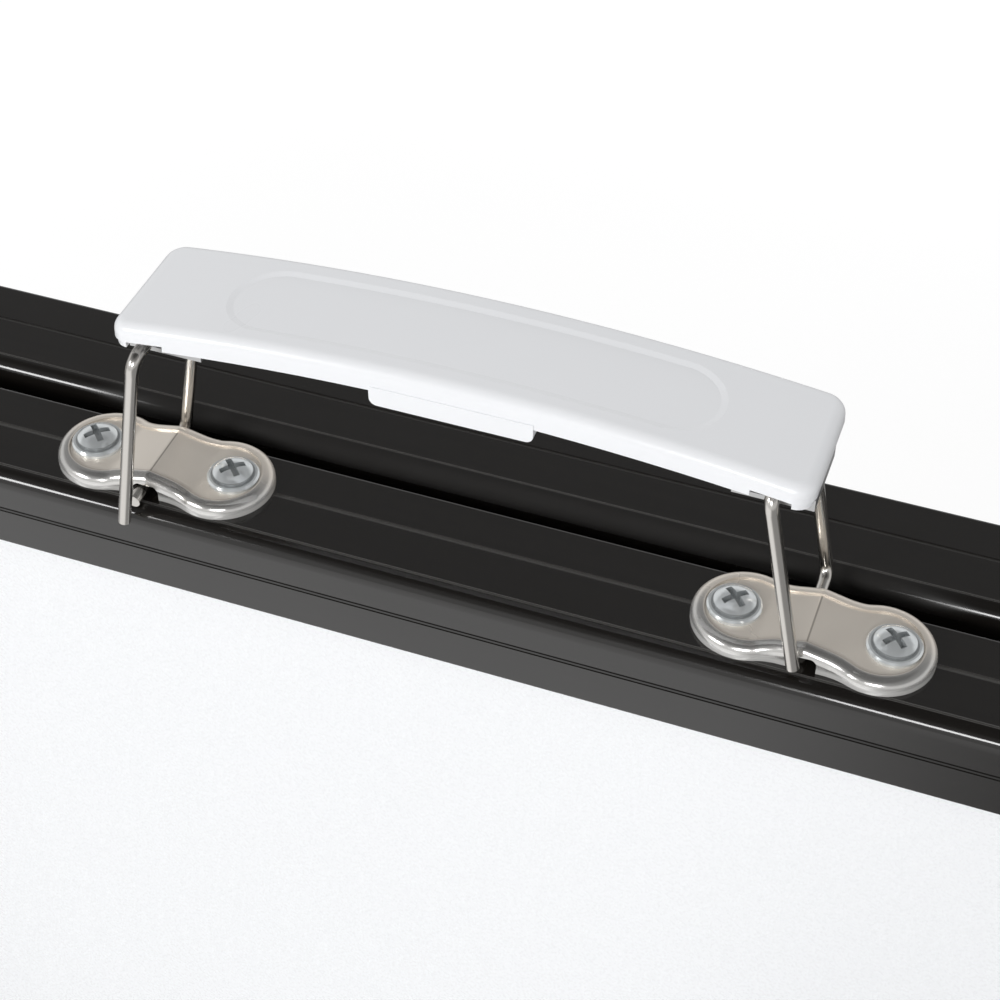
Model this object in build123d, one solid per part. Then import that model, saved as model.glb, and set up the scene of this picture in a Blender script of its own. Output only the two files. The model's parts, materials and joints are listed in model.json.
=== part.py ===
from build123d import *
import os
from math import cos, hypot, radians, sin, sqrt

# A folding tabletop whiteboard: two framed boards hinged along their top edges,
# carried by a wire-and-plastic handle on the front board's top rail.
# While it is built, x = 0 is the middle of the board, y = 0 the groove along the
# front top rail, and z = 0 the top of both frames. All lengths are in millimetres.

# Boards
panel_width = 406.0
panel_height = 305.0
panel_gap = 4.9
sheet_thickness = 0.5
board_clearance = 0.05

# Frame rails, drawn as the extrusion's cross-section
frame_depth = 20.0
frame_face = 15.4
groove_from_front = 11.5
lip_radius = 2.7
back_edge_radius = 0.8
flange_thickness = 1.5
top_web = 1.6
chamber_height = 3.4
inner_web = 1.2
groove_width = 0.8
groove_depth = 0.25
fine_line_width = 0.3
fine_line_depth = 0.2
fine_line_from_front = 2.8
face_line_drop = 7.7
face_line_pitch = 0.7

# Corner caps
cap_arm = 24.0
cap_corner_radius = 6.0
cap_lip_radius = 2.4
spigot_length = 14.0
spigot_clearance = 0.2

# Feet and bumpers
foot_length = 30.0
foot_width = 14.0
foot_height = 3.0
foot_inset = 45.0
foot_edge_radius = 1.2
bumper_radius = 5.0
bumper_inset = 40.0
bumper_edge_radius = 0.8
seat_gap = 0.3

# Handle plates, stamped over the bails' lower runs
plate_overreach = 2.0
plate_y = -0.5
plate_hole_spacing = 24.4
plate_lobe_spacing = 20.4
plate_lobe_radius = 8.5
plate_waist_half = 7.2
plate_waist_blend = 10.0
plate_height = 2.5
plate_thickness = 1.2
plate_edge_radius = 1.7
plate_dish_depth = 0.35
plate_rim_width = 2.1
ridge_height = 4.2
ridge_half_width = 7.5
ridge_foot_radius = 6.0
ridge_crest_radius = 1.5
tunnel_half_width = 2.2
tunnel_height = 2.6

# Plate screws
screw_flange_radius = 4.25
screw_flange_height = 0.8
screw_flange_edge = 0.3
screw_head_radius = 3.3
screw_head_height = 2.2
screw_shank_radius = 1.9
screw_reach = 4.6
thread_clearance = 0.05
plate_hole_clearance = 0.2
recess_length = 4.2
recess_width = 1.0
recess_depth = 1.2

# Wire bails
wire_diameter = 2.1
bail_leg_spacing = 21.6
bail_height = 33.6
bail_corner_radius = 2.4
left_foot_drop = 1.5
right_foot_drop = -1.0
bail_seam_gap = 3.0
bail_pivot_height = 1.2
bail_side_slack = -0.75
left_lean = 10.3
right_lean = 11.4
left_bail_y = -2.57
right_bail_y = 1.26

# Grip, in its own frame with x along the grip
grip_x = -0.1
grip_y = -1.25
grip_length = 105.6
grip_width = 22.2
grip_plan_radius = 3.2
grip_draft = 3.0
grip_top_z = 42.6
grip_top_sag = 3.65
grip_wall_depth = 2.8
grip_low_sag = 3.5
grip_wall = 1.5
grip_roof = 1.3
grip_edge_radius = 1.9
thumb_recess_inset = 15.0
thumb_recess_width = 15.2
thumb_recess_depth = 0.25
thumb_slope_width = 1.2
thumb_slope_height = 0.3
end_tab_inset = 0.4
end_tab_length = 2.5
peg_inset = 22.8
peg_radius = 2.0
peg_clearance = 0.1

# Under-shell of the grip
shell_band = 1.2
shell_band_inset = 0.3
shell_wall = 1.2
shell_wall_rise = 1.0
shell_reach = 3.4
shell_clearance = 0.1
bump_x = 0.9
bump_half_length = 12.3
bump_drop = 3.84
bump_end_radius = 1.2

# Steel strap that carries the wires
strap_width = 12.0
strap_thickness = 0.8
strap_lift = 0.3
pocket_length = 12.2
pocket_clearance = 0.4
cradle_gap = 0.8
cradle_lip_height = 1.2

# Butt hinges on the top rails
hinge_inset = 75.0
hinge_length = 50.0
hinge_knuckles = 5
knuckle_radius = 2.4
knuckle_gap = 0.2
hinge_pin_radius = 1.25
hinge_fit = 0.05
pin_head_radius = 1.9
pin_head_length = 1.0
leaf_thickness = 1.2
leaf_reach = 15.0
leaf_clearance = 0.4
leaf_hole_spacing = 32.0
leaf_hole_reach = 9.0
leaf_corner_radius = 2.0
leaf_screw_head_radius = 2.7
leaf_screw_head_depth = 1.1
leaf_screw_radius = 1.4
leaf_screw_reach = 4.4

# Side stays that hold the boards apart
opening_angle = 40.0
stay_pivot_share = 0.49
stay_stud_share = 0.295
stay_width = 13.0
stay_thickness = 2.0
stay_tail = 8.0
stay_shoulder_radius = 3.0
stay_fit = 0.06
stay_notch_clearance = 0.25
stay_side_clearance = 0.15
stay_spacer_thickness = 0.8
stay_spacer_radius = 5.0
stay_rivet_head_radius = 5.5
stay_stud_head_radius = 4.8
stay_head_height = 1.6
stay_head_radius = 1.0
stay_shank_radius = 2.0
stay_shank_reach = 4.4

# Places worked out from the sizes above
front_face_y = -groove_from_front
front_back_y = front_face_y + frame_depth
rear_shift = frame_depth + panel_gap
rear_face_y = front_face_y + rear_shift
rear_back_y = front_back_y + rear_shift
hinge_y = front_back_y + panel_gap / 2
hinge_z = knuckle_radius
slot_depth_start = top_web + chamber_height + inner_web
slot_width = frame_depth - 2 * flange_thickness
wire_radius = wire_diameter / 2
plate_spacing = grip_length + plate_overreach
left_pivot_x = -plate_spacing / 2 + bail_side_slack
right_pivot_x = plate_spacing / 2 + bail_side_slack
left_top_z = bail_pivot_height + bail_height * cos(radians(left_lean))
right_top_z = bail_pivot_height + bail_height * cos(radians(right_lean))
grip_place = Pos(grip_x, grip_y, 0)
wire_low_z = min(left_top_z, right_top_z) - wire_radius
thumb_recess_length = grip_length - 2 * thumb_recess_inset
peg_spacing = grip_length - 2 * peg_inset
strap_step_x = grip_length / 2 - pocket_length
cradle_end_x = grip_length / 2 - pocket_clearance
shell_half_length = strap_step_x + shell_reach
shell_band_width = grip_width - 2 * shell_band_inset
stay_pivot_drop = stay_pivot_share * panel_height
stay_stud_drop = stay_stud_share * panel_height
screw_seat_z = plate_height - plate_dish_depth
side_x = panel_width / 2
stay_bar_x = side_x + stay_spacer_thickness + stay_side_clearance
stay_head_x = stay_bar_x + stay_thickness + stay_side_clearance
stud_y = front_face_y + frame_depth / 2
stay_pivot_y = stud_y + rear_shift

from_bottom = (Align.CENTER, Align.CENTER, Align.MIN)

# The whole object then stands on its feet with the origin under the middle of its box
front_most_y = left_bail_y - bail_leg_spacing / 2 - wire_radius
standing = Location((0, -(front_most_y + rear_back_y) / 2, panel_height + foot_height))


def corner_of(sketch, x, y):
    """Return the sketch's vertex nearest to a point."""
    return sketch.vertices().sort_by_distance((x, y, 0))[0]


def turned(*edges):
    """Revolve a closed half outline of (radius, height) points about the Z axis."""
    return revolve(Plane.XZ * make_face(edges), Axis.Z)


# Frame rails
def rail_section():
    """Cross-section of the extrusion: x runs front to back and y is up, top at y = 0."""
    middle = front_face_y + frame_depth / 2
    section = Pos(middle, -frame_face / 2) * Rectangle(frame_depth, frame_face)
    section = fillet(corner_of(section, front_face_y, 0), lip_radius)
    section = fillet(corner_of(section, front_back_y, 0), back_edge_radius)
    section -= Pos(middle, -top_web - chamber_height / 2) * Rectangle(slot_width, chamber_height)
    slot_height = frame_face - slot_depth_start
    section -= Pos(middle, -slot_depth_start - slot_height / 2) * Rectangle(slot_width, slot_height)
    section -= Rectangle(groove_width, 2 * groove_depth)
    line_y = front_face_y + fine_line_from_front
    section -= Pos(line_y, 0) * Rectangle(fine_line_width, 2 * fine_line_depth)
    for side in (-0.5, 0.5):
        line_z = -face_line_drop + side * face_line_pitch
        section -= Pos(front_face_y, line_z) * Rectangle(2 * fine_line_depth, fine_line_width)
    return section


def rail(length):
    return extrude(Plane.YZ * rail_section(), amount=length / 2, both=True)


def frame_rails(shift):
    """Four rails of one board, with the lip of each towards the front."""
    across = rail(panel_width - 2 * cap_arm)
    upright = rail(panel_height - 2 * cap_arm)
    middle_z = -panel_height / 2
    return {
        "top": Pos(0, shift, 0) * across,
        "bottom": Pos(0, shift, -panel_height) * Rot(0, 180, 0) * across,
        "left": Pos(-side_x, shift, middle_z) * Rot(0, -90, 0) * upright,
        "right": Pos(side_x, shift, middle_z) * Rot(0, 90, 0) * upright,
    }


# Corner caps
def corner_cap():
    """Cap of the top left corner, with its outer corner at the origin."""
    inner = cap_arm - frame_face
    outline = Pos(cap_arm / 2, -cap_arm / 2) * Rectangle(cap_arm, cap_arm)
    outline = fillet(corner_of(outline, 0, 0), cap_corner_radius)
    outline -= Pos(cap_arm - inner / 2, -cap_arm + inner / 2) * Rectangle(inner, inner)
    flat = Plane(origin=(0, front_face_y, 0), x_dir=(1, 0, 0), z_dir=(0, -1, 0))
    cap = extrude(flat * outline, amount=-frame_depth)
    rim = cap.edges().filter_by(lambda edge: abs(edge.center().Y - front_face_y) < 0.01)
    rim = rim.filter_by(lambda edge: min(edge.center().X, -edge.center().Z) < cap_corner_radius / 2)
    cap = fillet(rim, cap_lip_radius)
    board_reach = cap_arm - slot_depth_start
    slot = Box(board_reach, slot_width, board_reach)
    slot_middle = cap_arm - board_reach / 2
    middle_y = front_face_y + frame_depth / 2
    cap -= Pos(slot_middle, middle_y, -slot_middle) * slot
    spigot_height = chamber_height - spigot_clearance
    spigot_width = slot_width - spigot_clearance
    spigot_level = top_web + chamber_height / 2
    overlap = 2.0
    along = cap_arm + (spigot_length - overlap) / 2
    reach = spigot_length + overlap
    cap += Pos(along, middle_y, -spigot_level) * Box(reach, spigot_width, spigot_height)
    cap += Pos(spigot_level, middle_y, -along) * Box(spigot_height, spigot_width, reach)
    return cap


def frame_caps(shift):
    cap = corner_cap()
    return {
        "top_left": Pos(-side_x, shift, 0) * cap,
        "top_right": Pos(side_x, shift, 0) * Rot(0, 90, 0) * cap,
        "bottom_right": Pos(side_x, shift, -panel_height) * Rot(0, 180, 0) * cap,
        "bottom_left": Pos(-side_x, shift, -panel_height) * Rot(0, 270, 0) * cap,
    }


# Board layers, held in the rails' slots
def board_layers(shift):
    edge = 2 * (slot_depth_start + board_clearance)
    width = panel_width - edge
    height = panel_height - edge
    front = front_face_y + shift + flange_thickness + board_clearance
    core_thickness = slot_width - 2 * board_clearance - 2 * sheet_thickness
    layers = {}
    for name, thickness in (
        ("writing_sheet", sheet_thickness),
        ("core", core_thickness),
        ("back_sheet", sheet_thickness),
    ):
        layers[name] = Pos(0, front + thickness / 2, -panel_height / 2) * Box(width, thickness, height)
        front += thickness
    return layers


def feet(shift):
    """Two rubber feet under a bottom rail."""
    block = Box(foot_length, foot_width, foot_height, align=(Align.CENTER, Align.CENTER, Align.MAX))
    block = fillet(block.edges().filter_by(Axis.Z), foot_width / 4)
    block = fillet(block.faces().sort_by(Axis.Z)[0].edges(), foot_edge_radius)
    middle_y = stud_y + shift
    places = [Pos(side * (side_x - foot_inset), middle_y, -panel_height) for side in (-1, 1)]
    return Compound([place * block for place in places])


def bumpers():
    """Two rubber buffers on the rear frame that keep the gap between the boards."""
    thickness = panel_gap - seat_gap
    button = Cylinder(bumper_radius, thickness, align=from_bottom)
    button = fillet(button.faces().sort_by(Axis.Z)[-1].edges(), bumper_edge_radius)
    button = Rot(90, 0, 0) * button
    z = -panel_height + frame_face / 2
    places = [Pos(side * (side_x - bumper_inset), rear_face_y, z) for side in (-1, 1)]
    return Compound([place * button for place in places])


# Handle plates
def plate_profile(drop):
    """Side view of the stamped plate: flat ends and a softly creased ridge across the middle."""
    half = plate_lobe_spacing / 2 + plate_lobe_radius + plate_edge_radius
    low = plate_height - drop
    crest = ridge_height - drop
    points = [
        (-half, 0),
        (half, 0),
        (half, low),
        (ridge_half_width, low),
        (0, crest),
        (-ridge_half_width, low),
        (-half, low),
    ]
    side = make_face(Polyline(*points, close=True))
    feet_of_ridge = [corner_of(side, x, low) for x in (-ridge_half_width, ridge_half_width)]
    side = fillet(feet_of_ridge, ridge_foot_radius)
    side = fillet(corner_of(side, 0, crest), ridge_crest_radius)
    return extrude(Plane.XZ * side, amount=2 * plate_lobe_radius, both=True)


def plate_outline():
    outline = Rectangle(plate_lobe_spacing, 2 * plate_waist_half)
    for side in (-0.5, 0.5):
        outline += Pos(side * plate_lobe_spacing, 0) * Circle(plate_lobe_radius)
    half_chord = sqrt(plate_lobe_radius**2 - plate_waist_half**2)
    necks = []
    for side_x_sign in (-1, 1):
        for side_y_sign in (-1, 1):
            neck_x = side_x_sign * (plate_lobe_spacing / 2 - half_chord)
            necks.append(corner_of(outline, neck_x, side_y_sign * plate_waist_half))
    return fillet(necks, plate_waist_blend)


def handle_plate():
    outline = plate_outline()
    above = 2 * ridge_height
    plate = plate_profile(0) & extrude(outline, amount=above)
    walls = plate.faces().filter_by(lambda face: abs(face.normal_at(face.center()).Z) < 0.01)
    rim = walls.edges().filter_by(lambda edge: edge.center().Z > plate_height - 0.01)
    plate = fillet(rim, plate_edge_radius)
    dish = extrude(offset(outline, -plate_rim_width), amount=above) - plate_profile(plate_dish_depth)
    plate -= dish
    hollow = extrude(offset(outline, -plate_thickness), amount=above) & plate_profile(plate_thickness)
    plate -= hollow
    tunnel = Box(2 * tunnel_half_width, 4 * plate_lobe_radius, tunnel_height, align=from_bottom)
    tunnel = fillet(tunnel.edges().filter_by(Axis.Y).group_by(Axis.Z)[-1], tunnel_half_width / 2)
    plate -= tunnel
    for side in (-0.5, 0.5):
        hole = Cylinder(screw_shank_radius + plate_hole_clearance, 4 * plate_height)
        plate -= Pos(side * plate_hole_spacing, 0, 0) * hole
    return plate


def pan_head_screw():
    """Screw with a flanged pan head and a cross recess, seated at z = 0."""
    crown = screw_head_height - screw_flange_height
    shoulder = 0.35 * crown
    screw = turned(
        Polyline(
            (0, screw_head_height),
            (0, -screw_seat_z - screw_reach),
            (screw_shank_radius, -screw_seat_z - screw_reach),
            (screw_shank_radius, 0),
            (screw_flange_radius, 0),
            (screw_flange_radius, screw_flange_height - screw_flange_edge),
            (screw_flange_radius - screw_flange_edge, screw_flange_height),
            (screw_head_radius, screw_flange_height),
            (screw_head_radius, screw_flange_height + shoulder),
        ),
        ThreePointArc(
            (screw_head_radius, screw_flange_height + shoulder),
            (0.62 * screw_head_radius, screw_head_height - 0.12 * crown),
            (0, screw_head_height),
        ),
    )
    slot = Box(recess_length, recess_width, 2 * recess_depth)
    for turn in (45, 135):
        screw -= Pos(0, 0, screw_head_height) * Rot(0, 0, turn) * slot
    return screw


# Bails
def bail(foot_drop):
    """Open wire loop with its pivot along Y through the origin. Its two ends meet low in front."""
    half = bail_leg_spacing / 2
    path = FilletPolyline(
        (0, -half + bail_seam_gap, 0),
        (0, half, 0),
        (0, half, bail_height),
        (0, -half, bail_height),
        (0, -half, -foot_drop),
        radius=bail_corner_radius,
    )
    section = Plane(origin=path @ 0, z_dir=path % 0) * Circle(wire_radius)
    return sweep(section, path=path)


# Grip
def grip_top(x):
    return grip_top_z - grip_top_sag * (2 * x / grip_length) ** 2


def grip_low(x):
    return grip_top_z - grip_wall_depth - grip_low_sag * (2 * x / grip_length) ** 2


def arched_side(half, top, bottom):
    """Slab between two arched lines, given as heights along the grip, wider than the grip."""
    end = grip_length / 2
    face = make_face(
        [
            ThreePointArc((-end, 0, top(end)), (0, 0, top(0)), (end, 0, top(end))),
            Line((end, 0, top(end)), (end, 0, bottom(end))),
            ThreePointArc((end, 0, bottom(end)), (0, 0, bottom(0)), (-end, 0, bottom(end))),
            Line((-end, 0, bottom(end)), (-end, 0, top(end))),
        ]
    )
    return extrude(face, amount=grip_width, both=True) & Box(2 * half, 2 * grip_width, 4 * grip_top_z)


def grip_prism(length, width, radius):
    """Drafted column of the grip's plan, from well below its lower edge to above its top."""
    base_z = grip_low(grip_length / 2)
    reach = 2 * (grip_top_z - base_z)
    upper = extrude(RectangleRounded(length, width, radius), amount=reach, taper=grip_draft)
    lower = extrude(RectangleRounded(length, width, radius), amount=-reach)
    return Pos(0, 0, base_z) * (upper + lower)


def grip_cover():
    half = grip_length / 2
    outer = arched_side(half, grip_top, grip_low) & grip_prism(grip_length, grip_width, grip_plan_radius)
    outer = fillet(outer.faces().sort_by(Axis.Z)[-1].edges(), grip_edge_radius)
    inner_plan = grip_prism(
        grip_length - 2 * grip_wall,
        grip_width - 2 * grip_wall,
        grip_plan_radius - grip_wall,
    )
    inner = arched_side(half, lambda x: grip_top(x) - grip_roof, lambda x: grip_low(x) - grip_wall)
    inner &= inner_plan
    cover = outer - inner
    tab_half = half - end_tab_inset
    tabs = arched_side(tab_half, lambda x: grip_low(x) + shell_band, lambda x: grip_low(x) - shell_band)
    tabs &= grip_prism(2 * tab_half, shell_band_width, grip_plan_radius - end_tab_inset)
    cover += tabs - Box(2 * (tab_half - end_tab_length), 2 * grip_width, 4 * grip_top_z)
    return cover - thumb_recess() + cover_pegs()


def thumb_recess():
    """Long shallow hollow in the grip's top, with gently sloping sides."""
    column = extrude(SlotOverall(thumb_recess_length, thumb_recess_width), amount=grip_top_z)
    kept = arched_side(
        grip_length / 2,
        lambda x: grip_top(x) - thumb_recess_depth,
        lambda x: grip_low(x) - grip_wall,
    )
    hollow = Pos(0, 0, grip_low(0)) * column - kept
    floor = hollow.faces().sort_by(Axis.Z)[0]
    return chamfer(floor.edges(), thumb_slope_width, thumb_slope_height, reference=floor)


def cover_pegs():
    """Two pegs under the cover's roof, which reach down through strap and under-shell."""
    pegs = []
    for side in (-0.5, 0.5):
        x = side * peg_spacing
        peg_bottom = grip_low(x) - shell_band
        peg_height = grip_top(x) - grip_roof / 2 - peg_bottom
        pegs.append(Pos(x, 0, peg_bottom) * Cylinder(peg_radius, peg_height, align=from_bottom))
    return pegs


def grip_under_shell():
    """Floor of the grip between the two wires, with walls that plug into the cover."""
    half = shell_half_length
    band = arched_side(half, grip_low, lambda x: grip_low(x) - shell_band)
    band &= grip_prism(grip_length, shell_band_width, grip_plan_radius)
    plug_width = grip_width - 2 * grip_wall - 2 * shell_clearance
    wall = arched_side(half, lambda x: grip_low(x) + shell_wall_rise, lambda x: grip_low(x) - shell_band / 2)
    wall &= grip_prism(grip_length, plug_width, grip_plan_radius)
    hollow = arched_side(half + shell_band, lambda x: grip_low(x) + 2 * shell_wall_rise, grip_low)
    hollow &= grip_prism(grip_length, plug_width - 2 * shell_wall, grip_plan_radius)
    shell = band + (wall - hollow)
    bump_height = bump_drop - shell_band / 2
    bump_z = grip_low(0) - bump_drop
    bump = Box(2 * bump_half_length, shell_band_width, bump_height, align=from_bottom)
    bump = fillet(bump.edges().filter_by(Axis.Y).group_by(Axis.Z)[0], bump_end_radius)
    shell += Pos(bump_x, 0, bump_z) * bump
    slot_x = strap_step_x + strap_thickness / 2
    slot = Box(
        strap_thickness + 2 * pocket_clearance,
        strap_width + 2 * pocket_clearance,
        4 * shell_band,
    )
    for side in (-1, 1):
        shell -= Pos(side * slot_x, 0, grip_low(slot_x)) * slot
        x = side * peg_spacing / 2
        shell -= Pos(x, 0, grip_low(x)) * Cylinder(peg_radius + peg_clearance, 4 * shell_band)
    return shell


def grip_strap():
    """Arched steel strip whose stepped ends cradle the two wires."""
    lift = strap_lift
    bottom_z = wire_low_z - cradle_gap - strap_thickness
    lip_z = wire_low_z - cradle_gap + cradle_lip_height
    arch = arched_side(
        strap_step_x + strap_thickness,
        lambda x: grip_low(x) + lift + strap_thickness,
        lambda x: grip_low(x) + lift,
    )
    strap = arch & Pos(0, 0, grip_low(0)) * Box(grip_length, strap_width, 4 * grip_wall_depth)
    floor = Box(cradle_end_x - strap_step_x, strap_width, strap_thickness, align=from_bottom)
    step_x = strap_step_x + strap_thickness / 2
    step_top = grip_low(step_x) + lift + strap_thickness / 2
    for side in (-1, 1):
        step = Box(strap_thickness, strap_width, step_top - bottom_z, align=from_bottom)
        strap += Pos(side * step_x, 0, bottom_z) * step
        strap += Pos(side * (strap_step_x + cradle_end_x) / 2, 0, bottom_z) * floor
        lip = Box(strap_thickness, strap_width, lip_z - bottom_z, align=from_bottom)
        strap += Pos(side * (cradle_end_x - strap_thickness / 2), 0, bottom_z) * lip
        x = side * peg_spacing / 2
        strap -= Pos(x, 0, grip_low(x)) * Cylinder(peg_radius + peg_clearance, 4 * strap_thickness)
    return strap


# Hinges
def hinge_leaf(side, own_first):
    """Leaf on one side of the pin, with every second knuckle. The pin lies along X at the origin."""
    pitch = hinge_length / hinge_knuckles
    inner = knuckle_radius + leaf_clearance
    width = leaf_reach - inner
    base_z = -knuckle_radius
    leaf = Box(hinge_length, width, leaf_thickness, align=from_bottom)
    outer_corners = leaf.edges().filter_by(Axis.Z).group_by(Axis.Y)[-1 if side > 0 else 0]
    leaf = Pos(0, side * (inner + width / 2), base_z) * fillet(outer_corners, leaf_corner_radius)
    for index in range(own_first, hinge_knuckles, 2):
        x = (index + 0.5) * pitch - hinge_length / 2
        bridge = Box(pitch - knuckle_gap, inner + leaf_clearance, leaf_thickness, align=from_bottom)
        leaf += Pos(x, side * (inner + leaf_clearance) / 2, base_z) * bridge
        leaf += Pos(x, 0, 0) * Rot(0, 90, 0) * Cylinder(knuckle_radius, pitch - knuckle_gap)
    leaf -= Rot(0, 90, 0) * Cylinder(hinge_pin_radius + hinge_fit, 2 * hinge_length)
    cone_low = leaf_screw_radius + thread_clearance
    cone_high = leaf_screw_head_radius + thread_clearance
    for place in leaf_screw_places(side):
        leaf -= place * Cylinder(cone_low, 4 * leaf_thickness)
        sink = Cone(cone_low, cone_high, leaf_screw_head_depth, align=(Align.CENTER, Align.CENTER, Align.MAX))
        leaf -= place * sink
    return leaf


def leaf_screw_places(side):
    top = -knuckle_radius + leaf_thickness
    return [Pos(step * leaf_hole_spacing, side * leaf_hole_reach, top) for step in (-0.5, 0.5)]


def leaf_screw():
    """Countersunk screw with its flat head at z = 0 and a cross recess."""
    length = leaf_screw_reach + leaf_thickness
    screw = turned(
        Polyline(
            (0, 0),
            (0, -length),
            (leaf_screw_radius, -length),
            (leaf_screw_radius, -leaf_screw_head_depth),
            (leaf_screw_head_radius, 0),
            close=True,
        )
    )
    slot = Box(leaf_screw_head_radius, leaf_screw_radius / 3, leaf_screw_head_depth)
    for turn in (0, 90):
        screw -= Rot(0, 0, turn) * slot
    return screw


def hinge_pin():
    """Pin with a peened head at both ends, along X."""
    half = hinge_length / 2 + knuckle_gap
    pin = Cylinder(hinge_pin_radius, 2 * half)
    for end in (-1, 1):
        pin += Pos(0, 0, end * (half + pin_head_length / 2)) * Cylinder(pin_head_radius, pin_head_length)
    return Rot(0, 90, 0) * pin


def hinge_place(side):
    return Pos(side * (side_x - hinge_inset), hinge_y, hinge_z)


def leaf_screws(side):
    screws = []
    for hinge_side in (-1, 1):
        for place in leaf_screw_places(side):
            screws.append(hinge_place(hinge_side) * place * leaf_screw())
    return Compound(screws)


# Stays
def stay_reach():
    """Distance from the stay's pivot to the stud when the boards stand open."""
    away_y = stay_pivot_y - hinge_y
    away_z = -stay_pivot_drop - hinge_z
    turn = radians(opening_angle)
    open_y = hinge_y + away_y * cos(turn) - away_z * sin(turn)
    open_z = hinge_z + away_y * sin(turn) + away_z * cos(turn)
    return hypot(open_y - stud_y, open_z + stay_stud_drop)


def stay_bar():
    """Flat bar hanging from its pivot, with a notch that drops over the stud. It lies in the YZ plane."""
    reach = stay_reach()
    half = stay_width / 2
    length = reach + stay_tail
    outline = Pos(0, -length / 2 + half / 2) * Rectangle(stay_width, length - half)
    outline += Circle(half)
    outline += Pos(0, -length + half) * Circle(half)
    outline -= Circle(stay_shoulder_radius + stay_fit)
    notch_radius = stay_shoulder_radius + stay_notch_clearance
    outline -= Pos(0, -reach) * Circle(notch_radius)
    outline -= Pos(half, -reach) * Rectangle(2 * half, 2 * notch_radius)
    return extrude(Plane.YZ * outline, amount=stay_thickness)


def stay_fastener(spacer_radius, head_radius):
    """Shouldered rivet or stud, standing out of a side rail along +X from x = 0."""
    shoulder = stay_head_x - side_x
    tip = shoulder + stay_head_height
    return Rot(0, 90, 0) * turned(
        Polyline(
            (0, tip),
            (0, -stay_shank_reach),
            (stay_shank_radius, -stay_shank_reach),
            (stay_shank_radius, 0),
            (spacer_radius, 0),
            (spacer_radius, stay_spacer_thickness),
            (stay_shoulder_radius, stay_spacer_thickness),
            (stay_shoulder_radius, shoulder),
            (head_radius, shoulder),
            (head_radius, tip - stay_head_radius),
        ),
        RadiusArc(
            (head_radius, tip - stay_head_radius),
            (head_radius - stay_head_radius, tip),
            -stay_head_radius,
        ),
        Line((head_radius - stay_head_radius, tip), (0, tip)),
    )


# Assembly
parts = {}
for board, shift in (("front", 0), ("rear", rear_shift)):
    for name, shape in frame_rails(shift).items():
        parts[f"{board}_{name}_rail"] = shape
    for name, shape in frame_caps(shift).items():
        parts[f"{board}_corner_cap_{name}"] = shape
    for name, shape in board_layers(shift).items():
        parts[f"{board}_{name}"] = shape
    parts[f"{board}_feet"] = feet(shift)
parts["rear_bumpers"] = bumpers()

plate_screw_list = []
for name, side in (("left", -1), ("right", 1)):
    centre = Pos(side * plate_spacing / 2, plate_y, 0)
    parts[f"handle_plate_{name}"] = centre * handle_plate()
    for step in (-0.5, 0.5):
        seat = centre * Pos(step * plate_hole_spacing, 0, screw_seat_z)
        plate_screw_list.append(seat * pan_head_screw())
        hole = Cylinder(screw_shank_radius + thread_clearance, 4 * top_web)
        parts["front_top_rail"] -= centre * Pos(step * plate_hole_spacing, 0, 0) * hole
parts["handle_plate_screws"] = Compound(plate_screw_list)

left_pivot = Pos(left_pivot_x, left_bail_y, bail_pivot_height)
right_pivot = Pos(right_pivot_x, right_bail_y, bail_pivot_height)
parts["bail_left"] = left_pivot * Rot(0, left_lean, 0) * bail(left_foot_drop)
parts["bail_right"] = right_pivot * Rot(0, -right_lean, 0) * bail(right_foot_drop)
parts["grip_cover"] = grip_place * grip_cover()
parts["grip_under_shell"] = grip_place * grip_under_shell()
parts["grip_strap"] = grip_place * grip_strap()

for name, side in (("left", -1), ("right", 1)):
    parts[f"hinge_{name}_front_leaf"] = hinge_place(side) * hinge_leaf(-1, 0)
    parts[f"hinge_{name}_rear_leaf"] = hinge_place(side) * hinge_leaf(1, 1)
    parts[f"hinge_{name}_pin"] = hinge_place(side) * hinge_pin()
for board, side in (("front", -1), ("rear", 1)):
    parts[f"hinge_{board}_screws"] = leaf_screws(side)
    for hinge_side in (-1, 1):
        for place in leaf_screw_places(side):
            hole = Cylinder(leaf_screw_radius + thread_clearance, 4 * top_web + 2 * leaf_thickness)
            parts[f"{board}_top_rail"] -= hinge_place(hinge_side) * place * hole

for name, side in (("left", -1), ("right", 1)):
    turn = Rot(0, 0, 180) if side < 0 else Rot(0, 0, 0)
    outward = Pos(side * side_x, 0, 0)
    pivot = Pos(0, stay_pivot_y, -stay_pivot_drop)
    stud = Pos(0, stud_y, -stay_stud_drop)
    rivet = stay_fastener(stay_spacer_radius, stay_rivet_head_radius)
    peg = stay_fastener(stay_stud_head_radius, stay_stud_head_radius)
    bar_x = stay_bar_x if side > 0 else -stay_bar_x - stay_thickness
    parts[f"stay_bar_{name}"] = Pos(bar_x, 0, 0) * pivot * stay_bar()
    parts[f"stay_pivot_{name}"] = outward * pivot * turn * rivet
    parts[f"stay_stud_{name}"] = outward * stud * turn * peg
    hole = Rot(0, 90, 0) * Cylinder(stay_shank_radius + thread_clearance, 4 * top_web)
    parts[f"rear_{name}_rail"] -= outward * pivot * hole
    parts[f"front_{name}_rail"] -= outward * stud * hole

os.makedirs("parts", exist_ok=True)
for node, shape in parts.items():
    export_step(standing * shape, f"parts/{node}.step")
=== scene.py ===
"""Scene of a portable whiteboard: materials, floor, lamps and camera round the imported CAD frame."""
import json
import math

import bpy
from mathutils import Matrix, Vector

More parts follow.
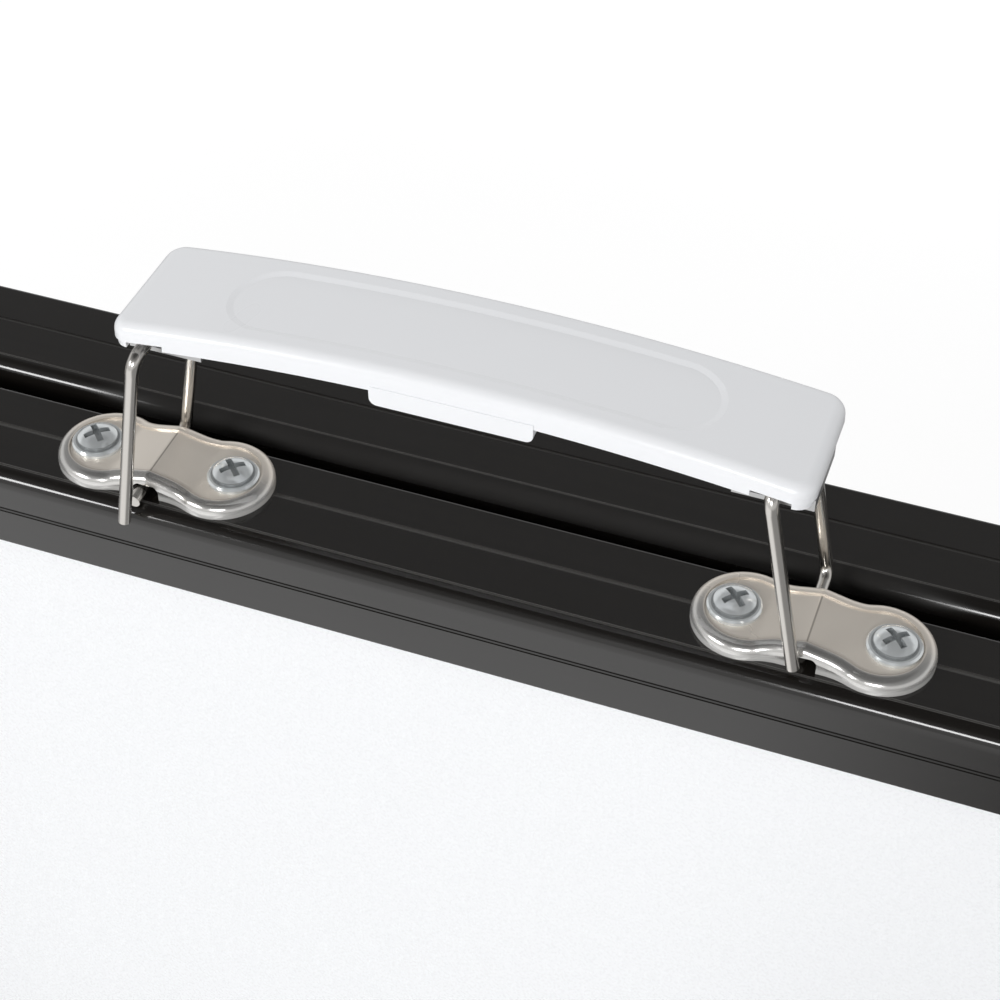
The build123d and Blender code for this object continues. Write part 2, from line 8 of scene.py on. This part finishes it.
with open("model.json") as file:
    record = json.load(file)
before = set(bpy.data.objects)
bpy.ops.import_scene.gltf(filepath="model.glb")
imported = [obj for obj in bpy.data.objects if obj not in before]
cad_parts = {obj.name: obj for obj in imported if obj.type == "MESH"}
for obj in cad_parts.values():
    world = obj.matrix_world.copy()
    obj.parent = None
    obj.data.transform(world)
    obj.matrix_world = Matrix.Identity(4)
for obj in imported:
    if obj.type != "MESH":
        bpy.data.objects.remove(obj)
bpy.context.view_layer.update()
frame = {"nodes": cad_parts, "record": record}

# Places on the object, in metres. X runs to the right, Y to the back and Z up.
FRAME_SIDE_X = 0.203
FRAME_TOP_Z = 0.308
FRAME_FOOT_Z = 0.003
FACE_DEPTH = 0.0008  # what lies this deep still counts as a rail's outer face
FRONT_FACE_Y = -0.02099
BOARD_PITCH = 0.0249  # from the front board to the rear board
LIP_INSET = 0.00109  # middle of the front lip, behind the front face
GROOVES_FROM_EDGE = 0.0077  # the two fine grooves in the front face
PLATE_X = 0.0538  # centre of the right handle plate
PLATE_Y = -0.00999
SCREW_STEP = 0.0122  # from there to each screw

# Painted highlights, paler lines along the rails: distance behind the front face, half width, soft
# edge and strength
RAIL_HIGHLIGHT_LINES = [
    (0.0115, 0.00036, 0.00012, 0.8),
    (0.0115 + BOARD_PITCH, 0.0003, 0.00015, 0.35),
    (0.0028, 0.0002, 0.0001, 1.0),
    (0.0028 + BOARD_PITCH, 0.00016, 0.0001, 1.0),
]

# Outline of the groove inside the rim of a handle plate, from the plate's centre: a round lobe
# about each screw, a hollow neck, and a straight waist across the wire
LOBE_CENTRE, LOBE_RADIUS = 0.0102, 0.0064
NECK_CENTRE, NECK_RADIUS = (0.00339, 0.0172), 0.0121
LOBE_START = 0.00784
WAIST_HALF = 0.0051


# Shader nodes
class Socket:
    """One output of a node tree. Sums and products of sockets add maths nodes."""

    def __init__(self, tree, output):
        self.tree = tree
        self.output = output

    def maths(self, operation, *others):
        return node(self.tree, "ShaderNodeMath", [self, *others], operation=operation)

    def __add__(self, other):
        return self.maths("ADD", other)

    def __sub__(self, other):
        return self.maths("SUBTRACT", other)

    def __rsub__(self, other):
        return node(self.tree, "ShaderNodeMath", [other, self], operation="SUBTRACT")

    def __mul__(self, other):
        return self.maths("MULTIPLY", other)

    __radd__ = __add__
    __rmul__ = __mul__

    def size(self):
        return self.maths("ABSOLUTE")

    def above(self, other):
        return self.maths("GREATER_THAN", other)

    def below(self, other):
        return self.maths("LESS_THAN", other)

    def both(self, other):
        return self.maths("MINIMUM", other)

    def either(self, other):
        return self.maths("MAXIMUM", other)

    def smooth(self, start, end):
        """0 at start, 1 at end, and an S-curve between them. Start may be the larger one."""
        return node(
            self.tree,
            "ShaderNodeMapRange",
            {"Value": self, "From Min": start, "From Max": end},
            interpolation_type="SMOOTHSTEP",
        )


def node(tree, kind, inputs=(), output=0, **settings):
    """Add a node, set it up, fill its inputs by name or place, and return one output."""
    new = tree.nodes.new(kind)
    for name, value in settings.items():
        setattr(new, name, value)
    pairs = inputs.items() if isinstance(inputs, dict) else enumerate(inputs)
    for key, value in pairs:
        if isinstance(value, Socket):
            tree.links.new(value.output, new.inputs[key])
        else:
            new.inputs[key].default_value = value
    return Socket(tree, new.outputs[output])


def outputs(tree, kind, names, inputs=()):
    """Add a node and return the outputs that are named."""
    first = node(tree, kind, inputs)
    return [Socket(tree, first.output.node.outputs[name]) for name in names]


class Surface:
    """A material with one Principled shader, and the textures that feed it."""

    def __init__(self, name, **constants):
        self.material = bpy.data.materials.new(name)
        self.material.use_nodes = True
        self.tree = self.material.node_tree
        self.shader = self.tree.nodes["Principled BSDF"]
        for key, value in constants.items():
            self.shader.inputs[key.replace("_", " ")].default_value = value

    def place(self, stretch=(1, 1, 1)):
        coordinates = node(self.tree, "ShaderNodeTexCoord", output="Object")
        return node(self.tree, "ShaderNodeVectorMath", [coordinates, stretch], operation="MULTIPLY")

    def axes(self):
        return outputs(self.tree, "ShaderNodeSeparateXYZ", "XYZ", [self.place()])

    def noise(self, scale, detail, stretch=(1, 1, 1)):
        texture = {"Vector": self.place(stretch), "Scale": scale, "Detail": detail}
        return node(self.tree, "ShaderNodeTexNoise", texture)

    def mix(self, factor, low, high):
        """Blend two colours."""
        return node(self.tree, "ShaderNodeMix", {0: factor, 6: low, 7: high}, 2, data_type="RGBA")

    def feed(self, **sockets):
        for key, value in sockets.items():
            self.tree.links.new(value.output, self.shader.inputs[key.replace("_", " ")])

    def bump(self, height, strength, depth):
        relief = {"Height": height, "Strength": strength, "Distance": depth}
        self.feed(Normal=node(self.tree, "ShaderNodeBump", relief, "Normal"))


def colour(red, green, blue):
    return (red, green, blue, 1.0)


def grey(value):
    return colour(value, value, value)


def scaled(factor, base):
    return colour(*(factor * part for part in base))


def distance(u, v):
    return (u * u + v * v).maths("POWER", 0.5)


def near(value, centre, half, soft):
    """1 where value is within half of centre, fading to 0 over soft."""
    return (value - centre).size().smooth(half + soft, half)


# Paint of the frame
def painted_rail_highlights(x, y, z):
    """Mask of the painted highlights, paler lines along the outer faces of every rail where grooves
    and edges catch the light.
    """
    sides = x.size().above(FRAME_SIDE_X - FACE_DEPTH)
    top, bottom = z.above(FRAME_TOP_Z - FACE_DEPTH), z.below(FRAME_FOOT_Z + FACE_DEPTH)
    lines = 0.0
    for behind_front, half, soft, strength in RAIL_HIGHLIGHT_LINES:
        lines = near(y, FRONT_FACE_Y + behind_front, half, soft) * strength + lines
    return lines * sides.either(top).either(bottom)


def rubbed_lip(x, y, z):
    """Mask of the dull stretch of the rear board's front lip, behind the grip."""
    lip_y = FRONT_FACE_Y + BOARD_PITCH + LIP_INSET
    lip = near(y, lip_y, 0.0014, 0.0004).both(z.above(FRAME_TOP_Z - 0.0035))
    return lip.both(near(x, 0.0, 0.06, 0.02))


def face_strip(x, y, z):
    """Mask of the duller strip along the two fine grooves in the front face of each board."""
    from_edge = (FRAME_SIDE_X - x.size()).both(FRAME_TOP_Z - z).both(z - FRAME_FOOT_Z)
    front_board = y.below(FRONT_FACE_Y + 0.0005)
    rear_board = near(y, FRONT_FACE_Y + BOARD_PITCH, 0.0004, 0.0001)
    return near(from_edge, GROOVES_FROM_EDGE, 0.0004, 0.0003).both(front_board.either(rear_board))


def black_paint(name, base, roughness, coat, rail=False):
    """Gloss black paint. A rail also has faint painted highlights along its grooves and edges."""
    paint = Surface(name, Metallic=0.0, Coat_Roughness=0.04)
    fine = paint.noise(900.0, 3.0, (0.02, 1, 1) if rail else (1, 1, 1))
    broad = paint.noise(70.0, 2.0)
    shade = paint.mix(fine, scaled(0.75, base), scaled(1.25, base))
    x, y, z = paint.axes()
    dull = rubbed_lip(x, y, z)
    if rail:
        # Painted highlights: the rail is paler along lines where grooves and edges would catch the
        # light.
        shade = paint.mix(painted_rail_highlights(x, y, z), shade, colour(0.09, 0.087, 0.083))
        dull = dull.either(face_strip(x, y, z) * 0.35)
    paint.feed(
        Base_Color=shade,
        Roughness=broad * 0.12 + dull * 0.7 + (roughness - 0.06),
        Coat_Weight=(broad * 0.1 + (coat - 0.05)) * (1.0 - dull),
    )
    paint.bump(fine * 0.7 + broad * 0.3, 0.25, 0.00004)
    return paint.material


# White surfaces
def white_sheet():
    """Smooth white dry-wipe coating with a very fine grain."""
    sheet = Surface("sheet_white", Metallic=0.0, Coat_Roughness=0.08)
    grain = sheet.noise(1500.0, 2.0)
    sheet.feed(
        Base_Color=sheet.mix(grain, colour(0.874, 0.887, 0.903), colour(0.88, 0.893, 0.909)),
        Roughness=grain * 0.02 + 0.265,
        Coat_Weight=grain * 0.02 + 0.235,
    )
    sheet.bump(grain, 0.04, 0.00001)
    return sheet.material


def white_plastic():
    """Gloss white moulding."""
    plastic = Surface("grip_white", Metallic=0.0, Coat_Roughness=0.12)
    tone = plastic.noise(40.0, 3.0)
    plastic.feed(
        Base_Color=plastic.mix(tone, colour(0.83, 0.84, 0.86), colour(0.87, 0.88, 0.9)),
        Roughness=tone * 0.1 + 0.24,
        Coat_Weight=tone * 0.2 + 0.15,
    )
    plastic.bump(plastic.noise(350.0, 2.0), 0.12, 0.00003)
    return plastic.material


# Metal
def plate_axes(plating):
    """Distances along and across a handle plate from its centre, front half mask and height."""
    x, y, z = plating.axes()
    u, v = (x.size() - PLATE_X).size(), (y - PLATE_Y).size()
    front = (y - PLATE_Y).smooth(0.004, -0.003)
    return u, v, front, z - FRAME_TOP_Z


def along_outline(u, v, mask):
    """Make a mask from the distance outside the groove's outline, for each part of a plate."""
    neck_u, neck_v = NECK_CENTRE
    lobe = mask(distance(u - LOBE_CENTRE, v) - LOBE_RADIUS).both(u.above(LOBE_START))
    neck = mask(NECK_RADIUS - distance(u - neck_u, v - neck_v))
    neck = neck.both(u.below(LOBE_START)).both(u.above(neck_u))
    waist = mask(v - WAIST_HALF).both(u.below(neck_u))
    return lobe.either(neck).either(waist)


def crease_painted_shade(plating):
    """Mask of painted shade: a dark line along the crease on a plate's crest, and along the groove
    inside its front rim.
    """
    u, v, front, _ = plate_axes(plating)
    crease = near(u, 0.0, 0.00008, 0.0001).both(v.below(0.0049)) * 0.6
    groove = along_outline(u, v, lambda outside: near(outside, 0.0, 0.00006, 0.00012))
    return crease.either(groove * front * 0.5)


def rim_mark(plating):
    """Mask of the rim outside that groove along the front, and of its rolled part.

    Hands rub the rolled part bright. The cut edge below it stays satin.
    """
    u, v, front, height = plate_axes(plating)
    rim = along_outline(u, v, lambda outside: outside.smooth(0.0001, 0.0004)) * front
    return rim, height.smooth(0.0006, 0.0016)


def recess_painted_shade(plating):
    """Mask of painted shade in the cross recess and at the step round the dome of each handle screw.
    """
    x, y, _ = plating.axes()
    u = (x.size() - PLATE_X).size() - SCREW_STEP
    v = y - PLATE_Y
    rising, falling = (u + v).size() * 0.7071, (u - v).size() * 0.7071
    arms = rising.both(falling).smooth(0.0006, 0.0004)
    from_centre = distance(u, v)
    cross = arms.both(from_centre.smooth(0.0023, 0.002)) * 0.65
    return cross.either(near(from_centre, 0.0034, 0.00014, 0.0001) * 0.6)


def metal(
    name,
    dark,
    light,
    roughness,
    spread,
    scale,
    metallic=1.0,
    stretch=(1, 1, 1),
    painted_shade=None,
    rim=None,
):
    """Plating whose shade and roughness drift a little. Satin plating is less metallic."""
    plating = Surface(name, Metallic=metallic)
    tone = plating.noise(scale, 4.0, stretch)
    shade = plating.mix(tone, colour(*dark), colour(*light))
    # Painted shade: the masked creases, grooves and recesses are darkened towards a fifth of the dark
    # tone.
    if painted_shade:
        shade = plating.mix(painted_shade(plating), shade, scaled(0.22, dark))
    dull = tone * spread + (roughness - spread / 2)
    if rim:
        bright, rolled = rim(plating)
        edge = plating.mix(rolled, colour(0.8, 0.79, 0.77), colour(0.69, 0.68, 0.66))
        shade = plating.mix(bright, shade, edge)
        dull = dull * (1.0 - bright * 0.25)
        plating.feed(Metallic=bright * (rolled * 0.51 + (0.35 - metallic)) + metallic)
    plating.feed(Base_Color=shade, Roughness=dull)
    plating.bump(plating.noise(6 * scale, 2.0, stretch), 0.15, 0.00002)
    return plating.material


def matt(name, dark, light, roughness, scale, relief):
    """Rubber or board: a mottled, rough surface with a fine bump."""
    surface = Surface(name, Metallic=0.0)
    tone = surface.noise(scale, 4.0)
    surface.feed(
        Base_Color=surface.mix(tone, colour(*dark), colour(*light)),
        Roughness=tone * 0.15 + (roughness - 0.07),
    )
    surface.bump(surface.noise(4 * scale, 3.0), 0.3, relief)
    return surface.material


slots = {
    "frame_black": black_paint(
        "frame_black",
        base=(0.009, 0.0078, 0.0068),
        roughness=0.13,
        coat=0.5,
        rail=True,
    ),
    "cap_black": black_paint("cap_black", base=(0.01, 0.01, 0.01), roughness=0.2, coat=0.4),
    "sheet_white": white_sheet(),
    "core_board": matt(
        "core_board",
        dark=(0.42, 0.31, 0.2),
        light=(0.56, 0.44, 0.3),
        roughness=0.8,
        scale=120.0,
        relief=0.0002,
    ),
    "plate_nickel": metal(
        "plate_nickel",
        dark=(0.8, 0.735, 0.655),
        light=(0.88, 0.815, 0.735),
        roughness=0.26,
        spread=0.1,
        scale=60.0,
        metallic=0.54,
        painted_shade=crease_painted_shade,
        rim=rim_mark,
    ),
    "wire_nickel": metal(
        "wire_nickel",
        dark=(0.62, 0.595, 0.56),
        light=(0.72, 0.695, 0.66),
        roughness=0.2,
        spread=0.08,
        scale=90.0,
    ),
    "screw_zinc": metal(
        "screw_zinc",
        dark=(0.8, 0.84, 0.85),
        light=(0.9, 0.93, 0.94),
        roughness=0.17,
        spread=0.08,
        scale=200.0,
        metallic=0.68,
        painted_shade=recess_painted_shade,
    ),
    "grip_white": white_plastic(),
    "strap_steel": metal(
        "strap_steel",
        dark=(0.5, 0.5, 0.5),
        light=(0.62, 0.62, 0.62),
        roughness=0.35,
        spread=0.12,
        scale=80.0,
    ),
    "foot_rubber": matt(
        "foot_rubber",
        dark=(0.02, 0.02, 0.02),
        light=(0.035, 0.035, 0.035),
        roughness=0.75,
        scale=150.0,
        relief=0.00008,
    ),
    "hinge_nickel": metal(
        "hinge_nickel",
        dark=(0.66, 0.625, 0.58),
        light=(0.75, 0.715, 0.67),
        roughness=0.3,
        spread=0.12,
        scale=70.0,
        metallic=0.75,
    ),
    "stay_steel": metal(
        "stay_steel",
        dark=(0.54, 0.54, 0.55),
        light=(0.66, 0.66, 0.67),
        roughness=0.3,
        spread=0.12,
        scale=60.0,
        metallic=0.8,
        stretch=(1, 1, 0.1),
    ),
}
for entry in frame["record"]["subparts"]:
    mesh = frame["nodes"][entry["node"]].data
    mesh.materials.clear()
    mesh.materials.append(slots[entry["material_slot"]])


# Floor. The shares say how much of its own glow the camera and reflections see.
FLOOR_SIZE = 12.0
SEEN_SHARE = 0.72
MIRRORED_SHARE = 0.96


def floor_material():
    """Pale floor, white to the camera and in reflections, that keeps a soft shadow.

    Reflections see it bright where it lies to the front left of the boards, and dim elsewhere.
    """
    floor = Surface("floor_white", Roughness=0.9)
    floor.feed(Base_Color=floor.mix(floor.noise(3.0, 3.0), grey(0.875), grey(0.88)))
    rays = ["Is Camera Ray", "Is Glossy Ray", "Is Transmission Ray"]
    seen, glossy, through = outputs(floor.tree, "ShaderNodeLightPath", rays)
    x, y, _ = floor.axes()
    bearing = x.maths("ARCTAN2", y * -1.0)
    mirrored_glow = near(bearing, -0.5, 0.45, 0.5) * 0.7 + 0.3
    seen_glow = seen * (distance(x, y).smooth(0.4, 1.4) * 0.1 + 1.1)
    strength = mirrored_glow.either(seen_glow)
    glow = node(floor.tree, "ShaderNodeEmission", {"Color": grey(1.0), "Strength": strength})
    lit = Socket(floor.tree, floor.shader.outputs[0])
    share = seen * SEEN_SHARE + (glossy + through) * MIRRORED_SHARE
    blend = node(floor.tree, "ShaderNodeMixShader", [share, lit, glow])
    floor.tree.links.new(blend.output, floor.tree.nodes["Material Output"].inputs["Surface"])
    return floor.material


def lay_floor():
    half = FLOOR_SIZE / 2
    mesh = bpy.data.meshes.new("floor")
    corners = [(-half, -half, 0), (half, -half, 0), (half, half, 0), (-half, half, 0)]
    mesh.from_pydata(corners, [], [(0, 1, 2, 3)])
    mesh.materials.append(floor_material())
    new = bpy.data.objects.new("floor", mesh)
    bpy.context.scene.collection.objects.link(new)


lay_floor()

# Lamps
LAMP_TARGET = Vector((0, 0, 0.31))
LAMP_DISTANCE = 1.6
LAMP_SIZE = (0.56, 0.27)


def direction(azimuth, elevation):
    """Unit vector towards an azimuth, 0 in front and positive to the right, and an elevation."""
    turn, rise = math.radians(azimuth), math.radians(elevation)
    return Vector(
        (math.sin(turn) * math.cos(rise), -math.cos(turn) * math.cos(rise), math.sin(rise))
    )


def aimed(target, away, reach):
    """Matrix of a lamp or camera that looks at target from a distance of reach."""
    turned = away.to_track_quat("Z", "Y").to_matrix().to_4x4()
    return Matrix.Translation(target + reach * away) @ turned


def lamp(name, azimuth, elevation, power, mirrored=True):
    """Area lamp aimed at the handle. One that isn't mirrored stays out of reflections."""
    light = bpy.data.lights.new(name, "AREA")
    light.shape = "RECTANGLE"
    light.size, light.size_y = LAMP_SIZE
    light.energy = power
    new = bpy.data.objects.new(name, light)
    new.visible_glossy = mirrored
    new.matrix_world = aimed(LAMP_TARGET, direction(azimuth, elevation), LAMP_DISTANCE)
    bpy.context.scene.collection.objects.link(new)


lamp("left_lamp", -41, 28, 6.5)
lamp("right_lamp", 9, 28, 6.9)
lamp("rear_lamp", 180, 7, 6.5, mirrored=False)


# World
AMBIENT = 0.58


def light_world():
    """White to the camera, plain ambient light, and soft walls and a ceiling in reflections."""
    world = bpy.data.worlds.new("studio")
    bpy.context.scene.world = world
    world.use_nodes = True
    tree = world.node_tree
    seen, glossy = outputs(tree, "ShaderNodeLightPath", ["Is Camera Ray", "Is Glossy Ray"])
    towards = node(tree, "ShaderNodeTexCoord", output="Generated")
    height = node(tree, "ShaderNodeSeparateXYZ", [towards], output="Z")
    walls = height.smooth(0.6, 0.34) * 0.45 + 0.05
    ceiling = height.smooth(0.9, 0.76) * 0.15
    strength = seen + glossy * (walls + ceiling) + (1.0 - seen - glossy) * AMBIENT
    background = tree.nodes["Background"]
    tree.links.new(strength.output, background.inputs["Strength"])
    background.inputs["Color"].default_value = grey(1.0)


light_world()

# Camera
CAMERA_AZIMUTH = 20.05
CAMERA_ELEVATION = 43.68
CAMERA_TARGET = Vector((-0.000224, 0.00169, 0.308))
CAMERA_DISTANCE = 0.32099
SENSOR_WIDTH = 36.0
FOCAL_LENGTH = 72.01

camera_data = bpy.data.cameras.new("camera")
camera_data.sensor_width = SENSOR_WIDTH
camera_data.lens = FOCAL_LENGTH
camera_data.clip_start = 0.01
camera = bpy.data.objects.new("camera", camera_data)
towards_camera = direction(CAMERA_AZIMUTH, CAMERA_ELEVATION)
camera.matrix_world = aimed(CAMERA_TARGET, towards_camera, CAMERA_DISTANCE)
bpy.context.scene.collection.objects.link(camera)
bpy.context.scene.camera = camera
bpy.context.scene.view_settings.view_transform = "Standard"
